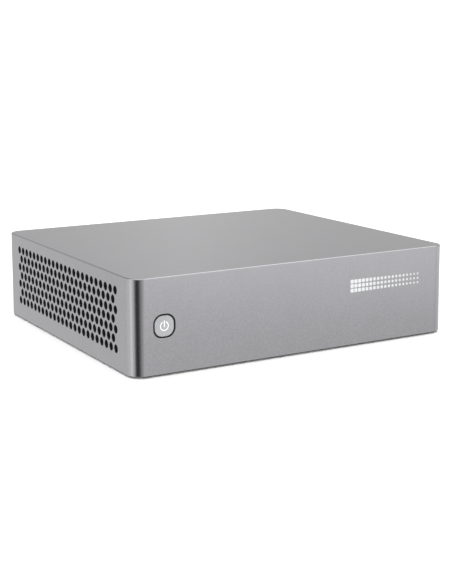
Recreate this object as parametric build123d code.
from build123d import *

import math
import os

# Mini PC: an aluminium housing over a plastic base tray that carries a small mainboard, a heat pipe
# cooler with a radial fan, plug-in memory and drives, and a row of sockets behind a rear panel.
#
# Frame: +X to the right as seen from the front, +Y to the back, +Z up. The origin is the centre of the
# footprint, on the surface that the feet stand on. Lengths are in millimetres.

# ---------------------------------------------------------------- driving dimensions
WIDTH = 197.0
DEPTH = 174.0
COVER_HEIGHT = 50.0
FOOT_CLEARANCE = 0.8
HEIGHT = FOOT_CLEARANCE + COVER_HEIGHT
CORNER_RADIUS = 8.0
TOP_EDGE_RADIUS = 0.7
WALL = 2.0

# derived places
HALF_W = WIDTH / 2
HALF_D = DEPTH / 2
RIM = 0.4
RIM_Z = FOOT_CLEARANCE + RIM
TRAY_TOP = FOOT_CLEARANCE + 2.0
INNER_TOP = HEIGHT - WALL
INNER_FRONT = -HALF_D + WALL
INNER_REAR = HALF_D - WALL

# side perforation
VENT_RADIUS = 2.2
VENT_PITCH = 5.83
VENT_ROW = VENT_PITCH * math.sqrt(3) / 2
VENT_COLUMNS = 24
VENT_ROWS = 7
VENT_MID_Z = FOOT_CLEARANCE + 26.4

# housing screws, feet and wall-mount inserts
BOSS_RADIUS = 3.0
BOSS_X = HALF_W - 5.9
BOSS_Y = HALF_D - 5.9
BOSSES = [(sx * BOSS_X, sy * BOSS_Y) for sx in (-1, 1) for sy in (-1, 1)]
BOSS_PILOT_DEPTH = 14.0
SCREW_SEAT = FOOT_CLEARANCE + 1.2
PILOT_RADIUS = 1.25
SHANK_RADIUS = 1.2
SHANK_HOLE = 1.6
HEAD_HOLE = 2.75
TRAY_GAP = 0.15
FOOT_RADIUS = 8.0
FOOT_X = HALF_W - 20.0
FOOT_Y = HALF_D - 19.0
FOOT_RECESS = 0.6
SPACER_FOOT = FOOT_CLEARANCE + FOOT_RECESS + 0.2
MOUNT_SPANS = (75.0, 100.0)
INSERT_RADIUS = 2.8
INSERT_BORE = 1.65
INSERT_TOP = FOOT_CLEARANCE + 5.0
INSERT_GROOVE = (FOOT_CLEARANCE + 2.0, FOOT_CLEARANCE + 3.0)

# air slots in the floor
SLOT_COLUMNS = 13
SLOT_PITCH = 4.8
SLOT_LENGTH = 22.0
SLOT_WIDTH = 2.6
SLOT_ROW_Y = 13.0

# power button, centred on the front wall's height
BUTTON_X = -HALF_W + 17.5
BUTTON_Z = FOOT_CLEARANCE + COVER_HEIGHT / 2
BEZEL_SIZE = 12.4
BEZEL_BORE = 10.9
CAP_SIZE = 10.7
SLEEVE_BACK = -HALF_D + 5.7
CAP_FACE = 1.2
SWITCH_FRONT = -HALF_D + 9.3
PLUNGER_STEP = 1.0
SWITCH_DEPTH = 3.5
SWITCH_BOARD_Y = SWITCH_FRONT + PLUNGER_STEP + SWITCH_DEPTH
SWITCH_BOARD_THICKNESS = 1.2
SWITCH_BOARD_SCREW = 10.5
SWITCH_POST_RADIUS = 2.2
SWITCH_PILOT_DEPTH = 7.0
BEZEL_FLANGE = (16.0, 14.6)
ICON_OUTER = 2.45
ICON_INNER = 1.95
ICON_GAP = 1.7
ICON_BAR = (0.52, 3.5)
ICON_BAR_MIDDLE = 1.15

# mainboard
BOARD_X = (-66.0, 89.4)
BOARD_Y = (-72.0, HALF_D - 4.0)
BOARD_Z = TRAY_TOP + 5.0
BOARD_THICKNESS = 1.6
BOARD_TOP = BOARD_Z + BOARD_THICKNESS
BOARD_HOLES = [(-61.8, -68.0), (-61.8, 74.0), (11.0, 66.0), (86.0, -68.0), (86.0, -9.0), (2.0, -44.0)]

# rear panel and the plane that the sockets reach
PANEL_THICKNESS = 1.0
PANEL_Y = INNER_REAR - 0.2 - PANEL_THICKNESS
PANEL_HALF = 89.0
PANEL_TOP = INNER_TOP - 2.0
PORT_FACE = PANEL_Y + PANEL_THICKNESS + 1.0
WINDOW_HALF = 86.0
WINDOW_TOP = HEIGHT - 7.0
CUTOUT_GAP = 0.3
USB_SHELL = (14.0, 15.6)
USB_SHELL_DEPTH = 17.5
USB_MOUTH = (12.5, 5.2)
USB_MOUTH_DEPTH = 11.0
USB_C_NOSE = (9.0, 3.3)
USB_C_MOUTH = (8.34, 2.56)
AUDIO_NOSE = 3.0
POWER_NOSE = 4.2
REAR_VENT_COLUMNS = 25
REAR_VENT_ROWS = 3
REAR_VENT_Z = WINDOW_TOP - 9.0
LOCK_SLOT_X = -76.0
LOCK_SLOT_Z = FOOT_CLEARANCE + 20.0
PANEL_TABS = (-77.0, 72.0)
PANEL_TAB_HALF = 6.0
PANEL_TAB_FRONT = PANEL_Y - 9.0
PANEL_TAB_SCREW_Y = PANEL_Y - 5.0

# sockets, left to right as seen from the front
AUDIO_X = -54.0
USB_C_X = -40.0
USB_OUTER_X = -22.0
ETHERNET_X = -2.0
USB_INNER_X = 23.5
DISPLAY_X = 43.0
HDMI_X = 62.0
POWER_X = 79.5
USB_PITCH_Z = 7.8
USB_FIRST_Z = BOARD_TOP + 3.9
AUDIO_Z = BOARD_TOP + 3.2
POWER_Z = BOARD_TOP + 5.8
ETHERNET_Z = BOARD_TOP + 6.0
VIDEO_Z = BOARD_TOP + 3.2
USB_C_Z = BOARD_TOP + 2.0
POWER_BORE = 2.85
POWER_PIN = 1.25
POWER_DEPTH = 9.5
AUDIO_BORE = 1.8
AUDIO_DEPTH = 12.0

# cooler
CPU_X = 40.0
CPU_Y = -28.0
DIE_TOP = BOARD_TOP + 1.6
PIPE_RADIUS = 3.0
PIPE_BORE = 3.03
PIPE_Z = DIE_TOP + 5.0
PIPE_INNER = (-76.0, -24.0)
PIPE_OUTER = (-86.0, -32.0)
COLD_PLATE_TOP = PIPE_Z + 3.8
BRACKET_THICKNESS = 1.2
BACKPLATE_THICKNESS = 1.4
SPRING_HEIGHT = 4.5
SPRING_WIRE = 0.3
SPRING_RADIUS = 1.95
COOLER_SCREWS = [(CPU_X + sx * 24.0, CPU_Y + sy * 19.5) for sx in (-1, 1) for sy in (-1, 1)]
FAN_X = -22.0
FAN_Y = 20.0
FAN_R = 39.0
FAN_Z = (FOOT_CLEARANCE + 12.0, FOOT_CLEARANCE + 36.0)
FAN_WALL = 1.5
FAN_INLET_RADIUS = 23.0
FAN_OUTLET_X = -66.0
FAN_LUGS = [(5.0, -12.2), (5.0, 52.2), (-50.0, 62.5)]
FAN_LUG_TOP = FAN_Z[0] + 2.0
BEARING_TUBE_TOP = FAN_Z[0] + 16.0
ROTOR_Z = (FAN_Z[0] + 2.8, FAN_Z[1] - 2.0)
ROTOR_R = 31.0
ROTOR_BLADES = 29
HUB_R = 12.0
SHAFT_R = 1.0
BEARING_BORE = 1.05
BEARING_R = 2.2
FINS_X = (-92.0, FAN_OUTLET_X - 0.2)
FINS_Y = (FAN_Y - 31.0, FAN_Y + 38.0)
FINS_Z = (FAN_Z[0] - 1.0, FAN_Z[1] + 1.0)
FIN_COUNT = 36
FIN_THICKNESS = 0.35

# memory, drive and radio cards
MEMORY_X = (18.4, 88.0)
MEMORY_ROWS = (-2.0, 31.0)
CARD_Y = -60.0
CARD_WIDTH = 22.0
CARD_Z = BOARD_TOP + 2.3
CARD_THICKNESS = 0.8
MODULE_THICKNESS = 1.2
MODULE_LENGTH = 30.0
MODULE_CHIPS = 4
SSD_X = (-57.0, 23.0)
RADIO_X = (36.0, 66.0)
COIN_AT = (77.2, -29.0)
COIN_Z = (BOARD_TOP + 1.2, BOARD_TOP + 4.4)
COIN_RADIUS = 10.0
ANTENNA_X = (30.0, 72.0)
CHIPS = [(-44, 30, 9), (-20, 40, 7), (-9, 50, 8), (-36, 62, 5), (-52, 10, 6), (78, -47, 7)]


# ---------------------------------------------------------------- shape helpers
def block(x0, x1, y0, y1, z0, z1):
    """A box between two corners."""
    return Pos((x0 + x1) / 2, (y0 + y1) / 2, (z0 + z1) / 2) * Box(x1 - x0, y1 - y0, z1 - z0)


def post(x, y, z0, z1, radius):
    """An upright cylinder."""
    return Pos(x, y, (z0 + z1) / 2) * Cylinder(radius, z1 - z0)


def rod_y(x, z, y0, y1, radius):
    """A cylinder along Y."""
    return Pos(x, (y0 + y1) / 2, z) * Rot(90, 0, 0) * Cylinder(radius, y1 - y0)


def slab(width, depth, radius, z0, z1, x=0.0, y=0.0):
    """An upright prism with rounded corners."""
    return Pos(x, y, z0) * extrude(RectangleRounded(width, depth, radius), amount=z1 - z0)


def prism_y(face, x, z, y0, y1):
    """A flat outline, seen from the front with up as up, carried from y0 back to y1."""
    plane = Plane(origin=(x, y0, z), x_dir=(1, 0, 0), z_dir=(0, -1, 0))
    return extrude(plane * face, amount=y0 - y1)


def stagger(columns, rows, pitch, row_pitch):
    """Centres of a staggered hole pattern about its middle; each odd row is one hole shorter."""
    for row in range(rows):
        count = columns - row % 2
        for column in range(count):
            yield (column - (count - 1) / 2) * pitch, (row - (rows - 1) / 2) * row_pitch


def squircle(size):
    """A square with bowed sides and large round corners."""
    half, bow = size / 2, size * 0.035
    corner = half - bow
    corners = [(-corner, -corner), (corner, -corner), (corner, corner), (-corner, corner)]
    middles = [(0, -half), (half, 0), (0, half), (-half, 0)]
    sides = [ThreePointArc(corners[i], middles[i], corners[(i + 1) % 4]) for i in range(4)]
    face = make_face(sides)
    return fillet(face.vertices(), size * 0.4)


def pan_screw(x, y, seat_z, tip_z, head_radius=2.5, head_height=1.5, down=True):
    """A pan-head screw with a cross recess: its head is above seat_z when it is driven down, else below."""
    sign = 1 if down else -1
    head_z = sorted((seat_z, seat_z + sign * head_height))
    head = post(x, y, *head_z, head_radius)
    outer_z = seat_z + sign * head_height
    head = fillet(head.edges().filter_by_position(Axis.Z, outer_z - 0.01, outer_z + 0.01), 0.5)
    recess_z = sorted((outer_z, outer_z - sign * 0.8))
    arm = head_radius * 0.55
    for a, b in ((arm, 0.3), (0.3, arm)):
        head -= block(x - a, x + a, y - b, y + b, *recess_z)
    shank = post(x, y, *sorted((seat_z, tip_z)), SHANK_RADIUS)
    return head + shank


def tube(points, radius, bends):
    """A round cable or pipe along straight runs joined by tangent arcs."""
    path = FilletPolyline(*points, radius=bends)
    start = Plane(origin=path @ 0, z_dir=path % 0)
    return sweep(start * Circle(radius), path=path)


# ---------------------------------------------------------------- casing
def top_housing():
    """The one-piece aluminium cover: top, front, sides and a rear wall with a window."""
    shell = slab(WIDTH, DEPTH, CORNER_RADIUS, RIM_Z, HEIGHT)
    shell = fillet(shell.edges().filter_by_position(Axis.Z, HEIGHT - 0.01, HEIGHT + 0.01), TOP_EDGE_RADIUS)
    shell = chamfer(shell.edges().filter_by_position(Axis.Z, RIM_Z - 0.01, RIM_Z + 0.01), 0.25)
    shell -= slab(WIDTH - 2 * WALL, DEPTH - 2 * WALL, CORNER_RADIUS - WALL, RIM_Z, INNER_TOP)
    for x, y in BOSSES:
        shell += post(x, y, TRAY_TOP, INNER_TOP, BOSS_RADIUS)
        shell -= post(x, y, TRAY_TOP, TRAY_TOP + BOSS_PILOT_DEPTH, PILOT_RADIUS)
    for side in (-1, 1):
        z = BUTTON_Z + side * SWITCH_BOARD_SCREW
        shell += rod_y(BUTTON_X, z, INNER_FRONT, SWITCH_BOARD_Y, SWITCH_POST_RADIUS)
        shell -= rod_y(BUTTON_X, z, SWITCH_BOARD_Y - SWITCH_PILOT_DEPTH, SWITCH_BOARD_Y, PILOT_RADIUS)
    window = Rectangle(2 * WINDOW_HALF, WINDOW_TOP - RIM_Z)
    window = fillet(window.vertices().group_by(Axis.Y)[-1], 3.0)
    shell -= prism_y(window, 0, (WINDOW_TOP + RIM_Z) / 2, INNER_REAR - 0.5, HALF_D + 1.0)
    shell -= prism_y(squircle(BEZEL_SIZE), BUTTON_X, BUTTON_Z, -HALF_D - 1.0, INNER_FRONT + 0.5)
    vents = [
        Pos(0, y, VENT_MID_Z + z) * Rot(0, 90, 0) * Cylinder(VENT_RADIUS, WIDTH + 2.0)
        for y, z in stagger(VENT_COLUMNS, VENT_ROWS, VENT_PITCH, VENT_ROW)
    ]
    return shell - vents


def mount_places(span):
    return [(sx * span / 2, sy * span / 2) for sx in (-1, 1) for sy in (-1, 1)]


def base_tray():
    """The plastic floor: a rim that shows below the housing, and bosses for screws and inserts."""
    tray = slab(WIDTH - 0.6, DEPTH - 0.6, CORNER_RADIUS - 0.3, FOOT_CLEARANCE, RIM_Z)
    tray = fillet(tray.edges().group_by(Axis.Z)[0], 0.2)
    lip = 2 * (WALL + TRAY_GAP)
    tray += slab(WIDTH - lip, DEPTH - lip, CORNER_RADIUS - WALL, RIM_Z, TRAY_TOP)
    for x, y in BOSSES:
        tray -= post(x, y, FOOT_CLEARANCE, TRAY_TOP, SHANK_HOLE)
        tray -= post(x, y, FOOT_CLEARANCE, SCREW_SEAT, HEAD_HOLE)
    recess = (FOOT_CLEARANCE, FOOT_CLEARANCE + FOOT_RECESS)
    for sx in (-1, 1):
        for sy in (-1, 1):
            tray -= post(sx * FOOT_X, sy * FOOT_Y, *recess, FOOT_RADIUS + TRAY_GAP)
    for span in MOUNT_SPANS:
        for x, y in mount_places(span):
            tray += post(x, y, TRAY_TOP, INSERT_TOP, INSERT_RADIUS + 1.4)
            tray -= post(x, y, FOOT_CLEARANCE, INSERT_TOP, INSERT_RADIUS)
    for x, y in BOARD_HOLES:
        tray -= post(x, y, SPACER_FOOT, TRAY_TOP, SHANK_HOLE)
    for x in PANEL_TABS:
        tray -= post(x, PANEL_TAB_SCREW_Y, RIM_Z, TRAY_TOP, PILOT_RADIUS)
    slot = extrude(SlotOverall(SLOT_LENGTH, SLOT_WIDTH, rotation=90), amount=TRAY_TOP + 1.0)
    slots = []
    for column in range(SLOT_COLUMNS):
        x = (column - (SLOT_COLUMNS - 1) / 2) * SLOT_PITCH
        slots += [Pos(x, side * SLOT_ROW_Y, 0) * slot for side in (-1, 1)]
    return tray - slots


def rear_cutouts():
    """The panel's openings, one per socket, a little larger than the socket's nose."""
    gap = 2 * CUTOUT_GAP
    usb_z = USB_FIRST_Z + USB_PITCH_Z / 2
    shapes = [
        (Circle(AUDIO_NOSE + CUTOUT_GAP), AUDIO_X, AUDIO_Z),
        (SlotOverall(USB_C_NOSE[0] + gap, USB_C_NOSE[1] + gap), USB_C_X, USB_C_Z),
        (Rectangle(USB_SHELL[0] + gap, USB_SHELL[1] + gap), USB_OUTER_X, usb_z),
        (Rectangle(USB_SHELL[0] + gap, USB_SHELL[1] + gap), USB_INNER_X, usb_z),
        (Rectangle(16.0 + gap, 13.6 + gap), ETHERNET_X, BOARD_TOP + 6.8),
        (Rectangle(17.6 + gap, 6.2 + gap), DISPLAY_X, VIDEO_Z),
        (Rectangle(15.4 + gap, 6.2 + gap), HDMI_X, VIDEO_Z),
        (Circle(POWER_NOSE + CUTOUT_GAP), POWER_X, POWER_Z),
    ]
    return [prism_y(shape, x, z, PANEL_Y - 1.0, PORT_FACE) for shape, x, z in shapes]


def rear_io_panel():
    """The folded steel sheet behind the window, with socket openings, vents and a lock slot."""
    panel = block(-PANEL_HALF, PANEL_HALF, PANEL_Y, PANEL_Y + PANEL_THICKNESS, TRAY_TOP, PANEL_TOP)
    for x in PANEL_TABS:
        sides = (x - PANEL_TAB_HALF, x + PANEL_TAB_HALF)
        panel += block(*sides, PANEL_TAB_FRONT, PANEL_Y, TRAY_TOP, TRAY_TOP + PANEL_THICKNESS)
        panel -= post(x, PANEL_TAB_SCREW_Y, TRAY_TOP, TRAY_TOP + PANEL_THICKNESS, 1.5)
    panel -= prism_y(RectangleRounded(7.0, 3.0, 0.6), LOCK_SLOT_X, LOCK_SLOT_Z, PANEL_Y - 1.0, PORT_FACE)
    vents = [
        rod_y(x, REAR_VENT_Z + z, PANEL_Y - 1.0, PORT_FACE, VENT_RADIUS)
        for x, z in stagger(REAR_VENT_COLUMNS, REAR_VENT_ROWS, VENT_PITCH, VENT_ROW)
    ]
    return panel - rear_cutouts() - vents


def rubber_foot(sx, sy):
    foot = post(sx * FOOT_X, sy * FOOT_Y, 0, FOOT_CLEARANCE + FOOT_RECESS, FOOT_RADIUS)
    return fillet(foot.edges().filter_by_position(Axis.Z, -0.01, 0.01), 0.6)


def housing_screws():
    return [pan_screw(x, y, SCREW_SEAT, TRAY_TOP + 12.0, 2.6, 1.1, down=False) for x, y in BOSSES]


def mount_inserts():
    """Brass M4 inserts for a wall or monitor bracket, with a knurl groove round the middle."""
    inserts = []
    for span in MOUNT_SPANS:
        for x, y in mount_places(span):
            insert = post(x, y, FOOT_CLEARANCE, INSERT_TOP, INSERT_RADIUS)
            groove = post(x, y, *INSERT_GROOVE, INSERT_RADIUS)
            insert -= groove - post(x, y, *INSERT_GROOVE, INSERT_RADIUS - 0.3)
            inserts.append(insert - post(x, y, FOOT_CLEARANCE, INSERT_TOP, INSERT_BORE))
    return inserts


# ---------------------------------------------------------------- power button
def power_button_bezel():
    """The black ring round the button: a sleeve through the wall with a flange behind it."""
    sleeve = prism_y(squircle(BEZEL_SIZE), BUTTON_X, BUTTON_Z, -HALF_D + 0.1, SLEEVE_BACK)
    flange = RectangleRounded(*BEZEL_FLANGE, 3)
    sleeve += prism_y(flange, BUTTON_X, BUTTON_Z, INNER_FRONT, INNER_FRONT + 1.0)
    return sleeve - prism_y(squircle(BEZEL_BORE), BUTTON_X, BUTTON_Z, -HALF_D, SLEEVE_BACK)


def power_icon():
    """A ring open at the top, with an upright bar in the gap."""
    ring = Circle(ICON_OUTER) - Circle(ICON_INNER) - Pos(0, ICON_INNER) * Rectangle(ICON_GAP, 3.0)
    return [ring, Pos(0, ICON_BAR_MIDDLE) * RectangleRounded(*ICON_BAR, 0.25)]


def power_button_cap():
    """The cup that is pressed, with the icon cut through its face and a flange that keeps it in."""
    front = -HALF_D
    cap = prism_y(squircle(CAP_SIZE), BUTTON_X, BUTTON_Z, front, SLEEVE_BACK + 0.05)
    cap = fillet(cap.edges().filter_by_position(Axis.Y, front - 0.01, front + 0.01), 0.3)
    cap += prism_y(squircle(CAP_SIZE + 1.4), BUTTON_X, BUTTON_Z, SLEEVE_BACK + 0.05, SLEEVE_BACK + 0.85)
    cap -= prism_y(squircle(CAP_SIZE - 1.8), BUTTON_X, BUTTON_Z, front + CAP_FACE, SLEEVE_BACK + 0.85)
    for shape in power_icon():
        cap -= prism_y(shape, BUTTON_X, BUTTON_Z, front - 0.1, front + CAP_FACE)
    return cap


def power_icon_light_guide():
    """Clear plastic: the icon in the cap's face, a plate, the post that works the switch and a lamp leg."""
    front = -HALF_D
    plate_back = front + CAP_FACE + 1.4
    guide = prism_y(squircle(CAP_SIZE - 1.9), BUTTON_X, BUTTON_Z, front + CAP_FACE, plate_back)
    for shape in power_icon():
        guide += prism_y(shape, BUTTON_X, BUTTON_Z, front + 0.02, front + CAP_FACE)
    guide += rod_y(BUTTON_X, BUTTON_Z, plate_back, SWITCH_FRONT, 1.5)
    leg_z = BUTTON_Z + 3.4
    guide += block(BUTTON_X - 1, BUTTON_X + 1, plate_back, SWITCH_FRONT + 0.3, leg_z - 0.6, leg_z + 0.6)
    return guide


def power_switch_plunger():
    return rod_y(BUTTON_X, BUTTON_Z, SWITCH_FRONT + 0.02, SWITCH_FRONT + 2.0, 1.7)


def power_switch_body():
    body_front = SWITCH_FRONT + PLUNGER_STEP
    body = block(
        BUTTON_X - 3.0, BUTTON_X + 3.0, body_front, SWITCH_BOARD_Y, BUTTON_Z - 3.0, BUTTON_Z + 3.0
    )
    body = chamfer(body.edges().filter_by(Axis.Y), 0.5)
    return body - rod_y(BUTTON_X, BUTTON_Z, body_front, body_front + 1.9, 1.8)


def power_lamp():
    """The lamp behind the light guide's leg, on a riser beside the switch."""
    z = BUTTON_Z + 4.6
    lamp = block(BUTTON_X - 1.6, BUTTON_X + 1.6, SWITCH_FRONT + 1.4, SWITCH_BOARD_Y, z - 1.4, z + 1.4)
    return chamfer(lamp.edges().filter_by_position(Axis.Y, SWITCH_FRONT + 1.39, SWITCH_FRONT + 1.41), 0.3)


def power_switch_board():
    back = SWITCH_BOARD_Y + SWITCH_BOARD_THICKNESS
    board = prism_y(RectangleRounded(15.0, 27.0, 1.5), BUTTON_X, BUTTON_Z, SWITCH_BOARD_Y, back)
    for side in (-1, 1):
        board -= rod_y(BUTTON_X, BUTTON_Z + side * SWITCH_BOARD_SCREW, SWITCH_BOARD_Y, back, 1.4)
    return board


def screw_y(x, z, seat_y, tip_y):
    """A small pan-head screw that points to the front."""
    head = rod_y(x, z, seat_y, seat_y + 1.5, 2.4)
    head -= block(x - 1.3, x + 1.3, seat_y + 0.7, seat_y + 1.5, z - 0.3, z + 0.3)
    head -= block(x - 0.3, x + 0.3, seat_y + 0.7, seat_y + 1.5, z - 1.3, z + 1.3)
    return head + rod_y(x, z, tip_y, seat_y, 1.1)


# ---------------------------------------------------------------- mainboard and what is soldered to it
def mainboard():
    width, depth = BOARD_X[1] - BOARD_X[0], BOARD_Y[1] - BOARD_Y[0]
    x, y = (BOARD_X[0] + BOARD_X[1]) / 2, (BOARD_Y[0] + BOARD_Y[1]) / 2
    board = slab(width, depth, 2.0, BOARD_Z, BOARD_TOP, x, y)
    holes = [post(hx, hy, BOARD_Z, BOARD_TOP, 1.6) for hx, hy in BOARD_HOLES + COOLER_SCREWS]
    holes += [post(hx, hy, BOARD_Z, BOARD_TOP, 1.4) for hx, hy in FAN_LUGS]
    return board - holes


def standoffs():
    """Brass: hexagonal spacers between tray and board, and low nuts under the cards' free ends."""
    spacers = []
    for x, y in BOARD_HOLES:
        spacer = Pos(x, y, TRAY_TOP) * extrude(RegularPolygon(2.9, 6), amount=BOARD_Z - TRAY_TOP)
        spacer += post(x, y, SPACER_FOOT, TRAY_TOP, SHANK_HOLE)
        spacers.append(spacer - post(x, y, TRAY_TOP, BOARD_Z, PILOT_RADIUS))
    for x in (SSD_X[0], RADIO_X[1]):
        nut = post(x, CARD_Y, BOARD_TOP, CARD_Z, 2.6)
        spacers.append(nut - post(x, CARD_Y, BOARD_TOP + 0.5, CARD_Z, PILOT_RADIUS))
    return spacers


def small_screws():
    """The identical small screws: board, fan lugs, panel tabs, drive and radio cards, switch board."""
    screws = [pan_screw(x, y, BOARD_TOP, BOARD_TOP - 6.0) for x, y in BOARD_HOLES]
    screws += [pan_screw(x, y, FAN_LUG_TOP, BOARD_Z - 0.8) for x, y in FAN_LUGS]
    tab_top = TRAY_TOP + PANEL_THICKNESS
    screws += [pan_screw(x, PANEL_TAB_SCREW_Y, tab_top, RIM_Z + 0.1) for x in PANEL_TABS]
    card_top = CARD_Z + CARD_THICKNESS
    screws += [pan_screw(x, CARD_Y, card_top, BOARD_TOP + 0.6) for x in (SSD_X[0], RADIO_X[1])]
    seat = SWITCH_BOARD_Y + SWITCH_BOARD_THICKNESS
    for side in (-1, 1):
        screws.append(screw_y(BUTTON_X, BUTTON_Z + side * SWITCH_BOARD_SCREW, seat, seat - 6.0))
    return screws


def processor():
    """A soldered processor: a thin carrier with two bare dies."""
    package = block(CPU_X - 25, CPU_X + 25, CPU_Y - 12.5, CPU_Y + 12.5, BOARD_TOP, BOARD_TOP + 0.9)
    package += block(CPU_X - 19, CPU_X + 1, CPU_Y - 5.5, CPU_Y + 5.5, BOARD_TOP + 0.9, DIE_TOP)
    return package + block(CPU_X + 5, CPU_X + 16, CPU_Y - 5.5, CPU_Y + 5.5, BOARD_TOP + 0.9, DIE_TOP)


def memory_sockets():
    """Two identical sockets: a slotted bar, two side arms and their latch ends."""
    sockets = []
    for y in MEMORY_ROWS:
        socket = block(MEMORY_X[0] - 0.8, MEMORY_X[1] + 0.8, y, y + 5.0, BOARD_TOP, BOARD_TOP + 4.0)
        socket -= block(MEMORY_X[0] - 0.1, MEMORY_X[1] + 0.1, y + 1.8, y + 5.0, CARD_Z - 0.2, CARD_Z + 1.4)
        for x0, x1, inward in (
            (MEMORY_X[0] - 1.2, MEMORY_X[0] - 0.2, 1),
            (MEMORY_X[1] + 0.2, MEMORY_X[1] + 1.2, -1),
        ):
            socket += block(x0, x1, y + 1.0, y + 27.0, BOARD_TOP, BOARD_TOP + 3.6)
            tip = (x0, x1 + 1.2) if inward > 0 else (x0 - 1.2, x1)
            socket += block(*tip, y + 22.0, y + 26.0, CARD_Z + 1.3, CARD_Z + 2.1)
        sockets.append(socket)
    return sockets


def memory_module(y):
    """A plug-in memory card with four chips on top and four below, and a key notch."""
    card_y = y + 2.0
    top = CARD_Z + MODULE_THICKNESS
    card = block(*MEMORY_X, card_y, card_y + MODULE_LENGTH, CARD_Z, top)
    card -= post(MEMORY_X[0] + 39.0, card_y, CARD_Z, top, 1.1)
    for side in MEMORY_X:
        card -= post(side, card_y + 20.0, CARD_Z, top, 1.0)
    for column in range(MODULE_CHIPS):
        x = MEMORY_X[0] + 6.0 + column * 16.0
        for z in (CARD_Z - 1.0, top):
            card += block(x, x + 9.6, card_y + 9.0, card_y + 22.0, z, z + 1.0)
    return card


def card_sockets():
    """The edge sockets of the drive card and the radio card."""
    sockets = []
    for x in (SSD_X[1], RADIO_X[0]):
        outward = 1 if x == SSD_X[1] else -1
        back = x + outward * 5.0
        mouth = x - outward * 2.6
        socket = block(*sorted((mouth, back)), CARD_Y - 11.0, CARD_Y + 11.0, BOARD_TOP, BOARD_TOP + 4.2)
        slot_z = (CARD_Z - 0.05, CARD_Z + 0.85)
        slot = block(*sorted((mouth, x + outward * 0.1)), CARD_Y - 10.0, CARD_Y + 10.0, *slot_z)
        sockets.append(socket - slot)
    return sockets


def edge_card(x0, x1, notch_x, neck):
    """A card 22 mm wide whose contact edge steps in at the socket, with a half-round screw notch."""
    top = CARD_Z + CARD_THICKNESS
    card = block(x0, x1, CARD_Y - CARD_WIDTH / 2, CARD_Y + CARD_WIDTH / 2, CARD_Z, top)
    for sy in (-1, 1):
        card -= block(*neck, *sorted((CARD_Y + sy * 9.9, CARD_Y + sy * 11.5)), CARD_Z, top)
    return card - post(notch_x, CARD_Y, CARD_Z, top, 2.0)


def ssd_card():
    """The drive card, with a controller and two storage chips."""
    x0, x1 = SSD_X
    card = edge_card(x0, x1, x0, (x1 - 3.2, x1))
    top = CARD_Z + CARD_THICKNESS
    for chip_x, length in ((x0 + 10, 14), (x0 + 28, 14), (x0 + 52, 12)):
        card += block(chip_x, chip_x + length, CARD_Y - 9, CARD_Y + 9, top, CARD_Z + 2.0)
    return card


def radio_card():
    """The wireless card: a shielded module, with two antenna sockets by its free end."""
    x0, x1 = RADIO_X
    card = edge_card(x0, x1, x1, (x0, x0 + 3.2))
    top = CARD_Z + CARD_THICKNESS
    card += block(x0 + 5, x1 - 7, CARD_Y - 10, CARD_Y + 10, top, CARD_Z + 2.4)
    for sy in (-1, 1):
        card += post(x1 - 3.5, CARD_Y + sy * 7.5, top, CARD_Z + 1.6, 1.1)
    return card


def antenna_pads():
    """Two thin antennas on the plastic floor, in front of the board."""
    pads = []
    for x in ANTENNA_X:
        pads.append(slab(30.0, 7.0, 1.0, TRAY_TOP, TRAY_TOP + 0.6, x, -79.0))
    return pads


def antenna_cables():
    """Thin coaxial leads from the antennas up to the radio card, each with its round plug."""
    cables = []
    plug_x = RADIO_X[1] - 3.5
    for pad_x, sy in zip(ANTENNA_X, (-1, 1)):
        plug_y = CARD_Y + sy * 7.5
        z = CARD_Z + 1.6
        plug = post(plug_x, plug_y, z, z + 1.2, 1.3)
        run_x = pad_x + 12.0
        side = math.copysign(1.0, run_x - plug_x)
        points = [
            (run_x, -77.0, TRAY_TOP + 1.3),
            (run_x, -73.6, TRAY_TOP + 2.2),
            (run_x, -73.6, z + 2.4),
            (run_x - side * 6.0, plug_y - 1.0, z + 2.4),
            (plug_x + side * 3.0, plug_y, z + 2.4),
            (plug_x + side * 0.8, plug_y, z + 0.7),
        ]
        cables.append(plug + tube(points, 0.55, [0.9, 1.6, 2.0, 0.9]))
    return cables


def coin_cell():
    cell = post(*COIN_AT, *COIN_Z, COIN_RADIUS)
    return chamfer(cell.edges(), 0.3)


def coin_cell_holder():
    """An open ring with a floor, a fixed hook and a sprung hook that hold the cell by its rim."""
    x, y = COIN_AT
    floor, rim = COIN_Z[0], BOARD_TOP + 3.4
    holder = post(x, y, BOARD_TOP, rim, 11.6)
    holder -= post(x, y, floor, rim, COIN_RADIUS + 0.15)
    holder -= block(x - 5, x + 5, y + 8, y + 13, floor, rim)
    for side in (-1, 1):
        inner, root, outer = (x + side * reach for reach in (9.0, 10.3, 11.4))
        holder += block(*sorted((inner, outer)), y - 2.5, y + 2.5, BOARD_TOP + 4.5, BOARD_TOP + 5.2)
        holder += block(*sorted((root, outer)), y - 2.5, y + 2.5, BOARD_TOP + 3.0, BOARD_TOP + 4.5)
    return holder


def power_chokes():
    chokes = []
    for x in (0.0, 9.0):
        for y in (-36.0, -28.0, -20.0):
            choke = block(x - 3.2, x + 3.2, y - 3.2, y + 3.2, BOARD_TOP, BOARD_TOP + 3.1)
            chokes.append(chamfer(choke.edges().filter_by(Axis.Z), 0.5))
    return chokes


def board_capacitors():
    cans = []
    for i in range(6):
        can = post(-52.0 + 8.0 * i, -42.6, BOARD_TOP, BOARD_TOP + 5.4, 2.6)
        cans.append(chamfer(can.edges().group_by(Axis.Z)[-1], 0.4))
    return cans


def controller_chips():
    """Flat packages for sound, network, firmware and the ports."""
    chips = []
    for x, y, size in CHIPS:
        half = size / 2
        chips.append(block(x - half, x + half, y - half, y + half, BOARD_TOP, BOARD_TOP + 1.0))
    return chips


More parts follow.
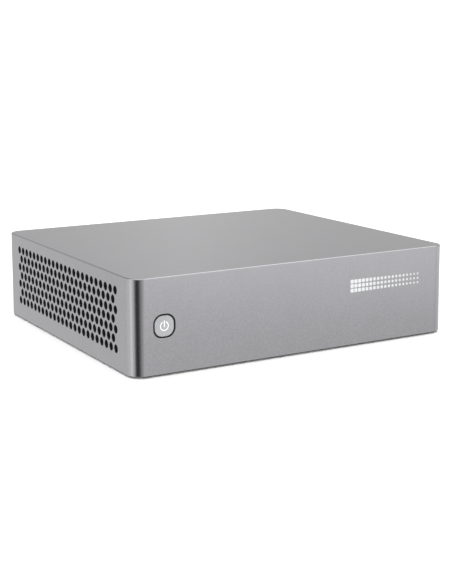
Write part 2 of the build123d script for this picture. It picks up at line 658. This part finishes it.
def board_headers():
    """Upright plug-in headers for the fan and the power button, open at the top."""
    headers = []
    for x, y in ((-59.5, -41.0), (-62.0, -53.5)):
        header = block(x - 3.5, x + 3.5, y - 2.2, y + 2.2, BOARD_TOP, BOARD_TOP + 3.2)
        headers.append(header - block(x - 2.8, x + 2.8, y - 1.5, y + 1.5, BOARD_TOP + 0.8, BOARD_TOP + 3.2))
    return headers


def header_plug(x, y):
    """The plug on a cable's end, seated in its header."""
    return block(x - 2.7, x + 2.7, y - 1.4, y + 1.4, BOARD_TOP + 0.8, BOARD_TOP + 4.2)


def power_button_cable():
    """The lead from the switch board's back to its header on the mainboard."""
    start_y = SWITCH_BOARD_Y + SWITCH_BOARD_THICKNESS
    z = BUTTON_Z - 4.0
    socket = block(BUTTON_X - 2.6, BUTTON_X + 2.6, start_y, start_y + 2.6, z - 1.6, z + 1.6)
    top = BOARD_TOP + 4.2
    points = [
        (BUTTON_X, start_y + 2.4, z),
        (BUTTON_X, start_y + 10.0, z),
        (-70.0, -53.5, z - 1.0),
        (-62.0, -53.5, z - 3.0),
        (-62.0, -53.5, top - 0.2),
    ]
    return socket + tube(points, 0.9, [3.2, 3.2, 2.4]) + header_plug(-62.0, -53.5)


# ---------------------------------------------------------------- cooler
def pipe_route(bend, z=PIPE_Z):
    """From the far side of the cold plate, left past the fan, then back through the fins."""
    return [(CPU_X + 21.0, bend[1], z), (bend[0], bend[1], z), (bend[0], FINS_Y[1] - 1.0, z)]


def heat_pipe(bend, radius=PIPE_RADIUS):
    return tube(pipe_route(bend), radius, 12.0)


def cold_plate():
    plate = block(CPU_X - 22, CPU_X + 22, CPU_Y - 16, CPU_Y + 16, DIE_TOP, COLD_PLATE_TOP)
    plate = chamfer(plate.edges().filter_by(Axis.Z), 1.0)
    for bend in (PIPE_INNER, PIPE_OUTER):
        start = CPU_X - 23.0
        bore = Rot(0, 90, 0) * Cylinder(PIPE_BORE, CPU_X + 21.05 - start)
        plate -= Pos((start + CPU_X + 21.05) / 2, bend[1], PIPE_Z) * bore
    return plate


def fin_stack():
    """Thin upright fins between two strips, threaded on both heat pipes."""
    x0, x1 = FINS_X
    stack = block(x0, x1, *FINS_Y, FINS_Z[0], FINS_Z[0] + FIN_THICKNESS)
    stack += block(x0, x1, *FINS_Y, FINS_Z[1] - FIN_THICKNESS, FINS_Z[1])
    step = (FINS_Y[1] - FINS_Y[0] - FIN_THICKNESS) / (FIN_COUNT - 1)
    fins = []
    for i in range(FIN_COUNT):
        y = FINS_Y[0] + i * step
        fins.append(block(x0, x1, y, y + FIN_THICKNESS, *FINS_Z))
    stack += fins
    for bend in (PIPE_INNER, PIPE_OUTER):
        stack -= rod_y(bend[0], PIPE_Z, FINS_Y[0] - 1.0, FINS_Y[1] - 0.9, PIPE_BORE)
    return stack


def cooler_bracket():
    """A sprung steel plate over the cold plate, with four arms that reach its screws."""
    z = (COLD_PLATE_TOP, COLD_PLATE_TOP + BRACKET_THICKNESS)
    bracket = block(CPU_X - 14, CPU_X + 14, CPU_Y - 15, CPU_Y + 15, *z)
    for x, y in COOLER_SCREWS:
        dx, dy = x - CPU_X, y - CPU_Y
        arm = Pos(CPU_X + dx / 2, CPU_Y + dy / 2, z[0]) * Rot(0, 0, math.degrees(math.atan2(dy, dx)))
        bracket += arm * extrude(Rectangle(math.hypot(dx, dy), 6.0), amount=BRACKET_THICKNESS)
        bracket += post(x, y, *z, 3.6)
    for x, y in COOLER_SCREWS:
        bracket -= post(x, y, *z, 1.5)
    return bracket


def cooler_backplate():
    """The plate under the board that the cooler's screws pull on."""
    z = (BOARD_Z - BACKPLATE_THICKNESS, BOARD_Z)
    plate = block(CPU_X - 27.5, CPU_X + 27.5, CPU_Y - 23, CPU_Y + 23, *z)
    plate = chamfer(plate.edges().filter_by(Axis.Z), 4.0)
    plate -= block(CPU_X - 15, CPU_X + 15, CPU_Y - 13, CPU_Y + 13, *z)
    for x, y in COOLER_SCREWS:
        plate -= post(x, y, *z, PILOT_RADIUS)
    return plate


def cooler_screws():
    """Long screws whose heads stand above the bracket by the height of their springs."""
    seat = COLD_PLATE_TOP + BRACKET_THICKNESS + SPRING_HEIGHT
    return [pan_screw(x, y, seat, BOARD_Z - BACKPLATE_THICKNESS) for x, y in COOLER_SCREWS]


def cooler_springs():
    """A compression spring round each of the cooler's screws."""
    rise = SPRING_HEIGHT - 2 * SPRING_WIRE - 0.1
    path = Helix(pitch=rise / 4, height=rise, radius=SPRING_RADIUS)
    profile = Plane(origin=path @ 0, z_dir=path % 0) * Circle(SPRING_WIRE)
    coil = sweep(profile, path=path)
    foot = COLD_PLATE_TOP + BRACKET_THICKNESS + SPRING_WIRE + 0.05
    return [Pos(x, y, foot) * coil for x, y in COOLER_SCREWS]


def fan_outline(inset):
    """The fan case seen from above: a round end, and a straight duct to the fins."""
    r = FAN_R - inset
    duct = Pos((FAN_OUTLET_X + FAN_X) / 2, FAN_Y) * Rectangle(FAN_X - FAN_OUTLET_X, 2 * r)
    return Pos(FAN_X, FAN_Y) * Circle(r) + duct


def web_end(x, y):
    """Where the web of a lug meets the fan case's wall."""
    wall = FAN_R - 1.0
    if x < FAN_X:
        return x, FAN_Y + math.copysign(wall, y - FAN_Y)
    scale = wall / math.hypot(x - FAN_X, y - FAN_Y)
    return FAN_X + (x - FAN_X) * scale, FAN_Y + (y - FAN_Y) * scale


def fan_housing():
    """The fan's open-topped case, with its bearing tube, air divider and lugs."""
    z0, z1 = FAN_Z
    case = Pos(0, 0, z0) * extrude(fan_outline(0), amount=z1 - z0)
    case -= Pos(0, 0, z0 + FAN_WALL) * extrude(fan_outline(FAN_WALL), amount=z1 - z0)
    edge = FAN_Y - FAN_R + FAN_WALL
    corners = [(FAN_OUTLET_X, edge - 0.5), (FAN_X - 12, edge - 0.5), (FAN_X - 24, edge + 9.5)]
    divider = make_face(Polyline(*corners, (FAN_OUTLET_X, edge + 6.5), close=True))
    case += Pos(0, 0, z0 + FAN_WALL) * extrude(divider, amount=z1 - z0 - FAN_WALL)
    case += post(FAN_X, FAN_Y, z0 + FAN_WALL, BEARING_TUBE_TOP, BEARING_R + 1.3)
    case -= post(FAN_X, FAN_Y, z0 + FAN_WALL, BEARING_TUBE_TOP, BEARING_R)
    for x, y in FAN_LUGS:
        end_x, end_y = web_end(x, y)
        dx, dy = x - end_x, y - end_y
        web = Pos((x + end_x) / 2, (y + end_y) / 2, z0) * Rot(0, 0, math.degrees(math.atan2(dy, dx)))
        case += web * extrude(Rectangle(math.hypot(dx, dy), 5.6), amount=FAN_LUG_TOP - z0)
        case += post(x, y, BOARD_TOP, FAN_LUG_TOP, 3.5)
        case -= post(x, y, BOARD_TOP, FAN_LUG_TOP, 1.4)
    return case


def fan_cover():
    """The sheet that closes the fan case, with its round air inlet."""
    cover = Pos(0, 0, FAN_Z[1]) * extrude(fan_outline(0), amount=1.0)
    return cover - post(FAN_X, FAN_Y, FAN_Z[1], FAN_Z[1] + 1.0, FAN_INLET_RADIUS)


def fan_blade():
    """One forward-curved blade, made at angle zero about the origin."""
    inner, middle, outer = (20.0, 0.0), (25.8, 1.3), (ROTOR_R - 0.4, 5.2)
    line = ThreePointArc(inner, middle, outer)
    face = make_face(offset(line, amount=0.35, side=Side.BOTH))
    return extrude(face, amount=ROTOR_Z[1] - ROTOR_Z[0] - 1.5)


def fan_rotor():
    """The impeller: a cup that hides the motor, a disc, and a ring of curved blades."""
    z0, z1 = ROTOR_Z
    rotor = post(0, 0, z0, z1, HUB_R)
    rotor = fillet(rotor.edges().group_by(Axis.Z)[-1], 1.2)
    rotor -= post(0, 0, z0, z1 - 1.5, HUB_R - 1.5)
    rotor += post(0, 0, z0, z0 + 1.0, ROTOR_R) - post(0, 0, z0, z0 + 1.0, HUB_R - 1.5)
    blade = fan_blade()
    rotor += [Rot(0, 0, i * 360 / ROTOR_BLADES) * Pos(0, 0, z0 + 0.5) * blade for i in range(ROTOR_BLADES)]
    top_ring = post(0, 0, z1 - 1.6, z1 - 0.8, ROTOR_R) - post(0, 0, z1 - 1.6, z1 - 0.8, ROTOR_R - 2.0)
    rotor += top_ring
    rotor -= post(0, 0, z1 - 1.5, z1 - 0.6, SHAFT_R)
    return Pos(FAN_X, FAN_Y, 0) * rotor


def fan_shaft():
    return post(FAN_X, FAN_Y, FAN_Z[0] + FAN_WALL + 0.4, ROTOR_Z[1] - 0.6, SHAFT_R)


def fan_bearing():
    z = (FAN_Z[0] + FAN_WALL, BEARING_TUBE_TOP)
    return post(FAN_X, FAN_Y, *z, BEARING_R) - post(FAN_X, FAN_Y, z[0] + 0.3, z[1], BEARING_BORE)


def fan_stator():
    """The motor's fixed core on the bearing tube: a ring with six T-shaped poles."""
    z = (FAN_Z[0] + FAN_WALL + 3.0, FAN_Z[0] + 13.0)
    core = post(0, 0, *z, 5.2)
    for i in range(6):
        pole = block(4.5, 8.6, -0.9, 0.9, *z)
        shoe = post(0, 0, *z, 9.6) - post(0, 0, *z, 8.4)
        shoe &= block(7.0, 10.0, -3.2, 3.2, *z)
        core += Rot(0, 0, i * 60) * (pole + shoe)
    return Pos(FAN_X, FAN_Y, 0) * (core - post(0, 0, *z, BEARING_R + 1.35))


def fan_cable():
    """The fan's lead, over the heat pipes to its header."""
    top = BOARD_TOP + 4.2
    points = [
        (-59.5, FAN_Y - FAN_R, FAN_Z[0] + 10.0),
        (-59.5, -27.0, FAN_Z[0] + 10.0),
        (-59.5, -39.0, FAN_Z[0] + 8.4),
        (-59.5, -41.0, top - 0.2),
    ]
    return tube(points, 0.9, [6.0, 3.4]) + header_plug(-59.5, -41.0)


# ---------------------------------------------------------------- sockets on the rear edge
def usb_stack(x):
    """Two flat sockets one above the other in one metal shell."""
    outline = Rectangle(*USB_SHELL)
    shell = prism_y(outline, x, BOARD_TOP + USB_SHELL[1] / 2, PORT_FACE - USB_SHELL_DEPTH, PORT_FACE)
    shell = chamfer(shell.edges().filter_by(Axis.Y), 0.4)
    for i in range(2):
        z = USB_FIRST_Z + i * USB_PITCH_Z
        shell -= prism_y(Rectangle(*USB_MOUTH), x, z, PORT_FACE - USB_MOUTH_DEPTH, PORT_FACE)
    return shell


def usb_c_port():
    body = block(USB_C_X - 4.5, USB_C_X + 4.5, PORT_FACE - 8.0, PORT_FACE - 2.5, BOARD_TOP, BOARD_TOP + 3.7)
    body += prism_y(SlotOverall(*USB_C_NOSE), USB_C_X, USB_C_Z, PORT_FACE - 6.0, PORT_FACE)
    return body - prism_y(SlotOverall(*USB_C_MOUTH), USB_C_X, USB_C_Z, PORT_FACE - 6.0, PORT_FACE)


def video_outline(width, height, cuts):
    """A socket outline whose lower corners, or one of them, are cut off."""
    w, h = width / 2, height / 2
    left, right = cuts
    points = [(-w, h), (w, h), (w, right - h), (w - right * 1.1, -h), (left * 1.1 - w, -h), (-w, left - h)]
    return make_face(Polyline(*dict.fromkeys(points), close=True))


def video_port(x, width, cuts, depth):
    """A metal shell with a shaped mouth; the inner outline is the outer one less the sheet."""
    half = width / 2
    shell = block(x - half, x + half, PORT_FACE - depth, PORT_FACE - 2.0, BOARD_TOP, VIDEO_Z + 3.0)
    shell += prism_y(video_outline(width, 6.0, cuts), x, VIDEO_Z, PORT_FACE - 3.0, PORT_FACE)
    mouth = video_outline(width - 0.9, 5.1, [max(0.0, c - 0.25) for c in cuts])
    return shell - prism_y(mouth, x, VIDEO_Z, PORT_FACE - depth + 2.0, PORT_FACE)


def ethernet_port():
    """The network socket: a shielded block with a stepped mouth for the plug and its latch."""
    x, face = ETHERNET_X, PORT_FACE
    body = block(x - 8.0, x + 8.0, face - 21.0, face, BOARD_TOP, BOARD_TOP + 13.4)
    body = chamfer(body.edges().filter_by(Axis.Y), 0.5)
    body -= block(x - 5.95, x + 5.95, face - 13.0, face, ETHERNET_Z - 3.0, ETHERNET_Z + 3.9)
    body -= block(x - 3.1, x + 3.1, face - 13.0, face, ETHERNET_Z - 4.6, ETHERNET_Z - 3.0)
    body -= block(x - 1.7, x + 1.7, face - 9.0, face, ETHERNET_Z - 5.6, ETHERNET_Z - 4.6)
    return body


def audio_jack():
    """The headphone socket: a block with a round nose and a plain bore."""
    back, front = PORT_FACE - 2.2, PORT_FACE - 13.5
    body = block(AUDIO_X - 3.6, AUDIO_X + 3.6, front, back, BOARD_TOP, BOARD_TOP + 6.2)
    body += rod_y(AUDIO_X, AUDIO_Z, back, PORT_FACE, AUDIO_NOSE)
    return body - rod_y(AUDIO_X, AUDIO_Z, PORT_FACE - AUDIO_DEPTH, PORT_FACE, AUDIO_BORE)


def power_jack():
    """The round supply socket; its centre pin is a separate metal piece."""
    back, front = PORT_FACE - 2.2, PORT_FACE - 14.0
    body = block(POWER_X - 4.6, POWER_X + 4.6, front, back, BOARD_TOP, BOARD_TOP + 10.8)
    body = chamfer(body.edges().filter_by(Axis.Y), 0.6)
    body += rod_y(POWER_X, POWER_Z, PORT_FACE - 2.3, PORT_FACE, POWER_NOSE)
    return body - rod_y(POWER_X, POWER_Z, PORT_FACE - POWER_DEPTH, PORT_FACE, POWER_BORE)


def socket_tongues():
    """The plastic blades inside the flat sockets, each fixed to its socket's back wall."""
    tongues = []
    for x in (USB_INNER_X, USB_OUTER_X):
        for i in range(2):
            z = USB_FIRST_Z + i * USB_PITCH_Z
            reach = (PORT_FACE - USB_MOUTH_DEPTH, PORT_FACE - 1.2)
            tongues.append(block(x - 5.55, x + 5.55, *reach, z - 0.1, z + 1.74))
    z = (USB_C_Z - 0.35, USB_C_Z + 0.35)
    tongues.append(block(USB_C_X - 3.35, USB_C_X + 3.35, PORT_FACE - 6.0, PORT_FACE - 0.9, *z))
    z = (VIDEO_Z + 0.1, VIDEO_Z + 1.3)
    for x, half, depth in ((DISPLAY_X, 6.4, 14.0), (HDMI_X, 5.2, 12.0)):
        tongues.append(block(x - half, x + half, PORT_FACE - depth + 2.0, PORT_FACE - 1.5, *z))
    return tongues


def contact_row(x, count, pitch, y0, y1, z0, z1):
    """Narrow upright-edged strips side by side."""
    strips = []
    for i in range(count):
        cx = x + (i - (count - 1) / 2) * pitch
        strips.append(block(cx - pitch * 0.28, cx + pitch * 0.28, y0, y1, z0, z1))
    return strips


def socket_contacts():
    """The gilt contacts that show in the sockets, and the supply socket's centre pin."""
    pieces = [rod_y(POWER_X, POWER_Z, PORT_FACE - POWER_DEPTH, PORT_FACE - 0.8, POWER_PIN)]
    pieces[0] = fillet(pieces[0].edges().group_by(Axis.Y)[-1], 0.6)
    for x in (USB_INNER_X, USB_OUTER_X):
        for i in range(2):
            z = USB_FIRST_Z + i * USB_PITCH_Z - 0.1
            pieces += contact_row(x, 4, 2.5, PORT_FACE - 9.0, PORT_FACE - 1.8, z - 0.12, z)
    z = (USB_C_Z + 0.35, USB_C_Z + 0.45)
    pieces += contact_row(USB_C_X, 8, 0.75, PORT_FACE - 5.0, PORT_FACE - 1.4, *z)
    for x, count in ((DISPLAY_X, 10), (HDMI_X, 9)):
        pieces += contact_row(x, count, 1.05, PORT_FACE - 8.0, PORT_FACE - 2.0, VIDEO_Z, VIDEO_Z + 0.1)
    top = ETHERNET_Z + 3.9
    pieces += contact_row(ETHERNET_X, 8, 1.02, PORT_FACE - 12.0, PORT_FACE - 4.0, top - 1.0, top)
    return pieces


# ---------------------------------------------------------------- every node, by name
def nodes():
    """Node name to its solid, or to a list of separate solids."""
    made = {
        "top_housing": top_housing(),
        "base_tray": base_tray(),
        "rear_io_panel": rear_io_panel(),
        "housing_screws": housing_screws(),
        "mount_inserts": mount_inserts(),
        "power_button_bezel": power_button_bezel(),
        "power_button_cap": power_button_cap(),
        "power_icon_light_guide": power_icon_light_guide(),
        "power_switch_plunger": power_switch_plunger(),
        "power_switch_body": power_switch_body(),
        "power_switch_board": power_switch_board(),
        "power_lamp": power_lamp(),
        "power_button_cable": power_button_cable(),
        "mainboard": mainboard(),
        "standoffs": standoffs(),
        "small_screws": small_screws(),
        "processor": processor(),
        "memory_sockets": memory_sockets(),
        "memory_module_front": memory_module(MEMORY_ROWS[0]),
        "memory_module_rear": memory_module(MEMORY_ROWS[1]),
        "card_sockets": card_sockets(),
        "ssd_card": ssd_card(),
        "radio_card": radio_card(),
        "antenna_pads": antenna_pads(),
        "antenna_cables": antenna_cables(),
        "coin_cell": coin_cell(),
        "coin_cell_holder": coin_cell_holder(),
        "power_chokes": power_chokes(),
        "board_capacitors": board_capacitors(),
        "controller_chips": controller_chips(),
        "board_headers": board_headers(),
        "cold_plate": cold_plate(),
        "heat_pipe_inner": heat_pipe(PIPE_INNER),
        "heat_pipe_outer": heat_pipe(PIPE_OUTER),
        "fin_stack": fin_stack(),
        "cooler_bracket": cooler_bracket(),
        "cooler_backplate": cooler_backplate(),
        "cooler_screws": cooler_screws(),
        "cooler_springs": cooler_springs(),
        "fan_housing": fan_housing(),
        "fan_cover": fan_cover(),
        "fan_rotor": fan_rotor(),
        "fan_shaft": fan_shaft(),
        "fan_bearing": fan_bearing(),
        "fan_stator": fan_stator(),
        "fan_cable": fan_cable(),
        "usb_stack_inner": usb_stack(USB_INNER_X),
        "usb_stack_outer": usb_stack(USB_OUTER_X),
        "usb_c_port": usb_c_port(),
        "display_port": video_port(DISPLAY_X, 17.2, (0.0, 2.2), 14.0),
        "hdmi_port": video_port(HDMI_X, 15.0, (1.8, 1.8), 12.0),
        "ethernet_port": ethernet_port(),
        "audio_jack": audio_jack(),
        "power_jack": power_jack(),
        "socket_tongues": socket_tongues(),
        "socket_contacts": socket_contacts(),
    }
    for side, sx in (("left", -1), ("right", 1)):
        for end, sy in (("front", -1), ("rear", 1)):
            made[f"rubber_foot_{end}_{side}"] = rubber_foot(sx, sy)
    return made


def main():
    os.makedirs("parts", exist_ok=True)
    for name, shape in nodes().items():
        pieces = shape if isinstance(shape, list) else [shape]
        solids = [solid for piece in pieces for solid in piece.solids()]
        export_step(solids[0] if len(solids) == 1 else Compound(solids), f"parts/{name}.step")


main()
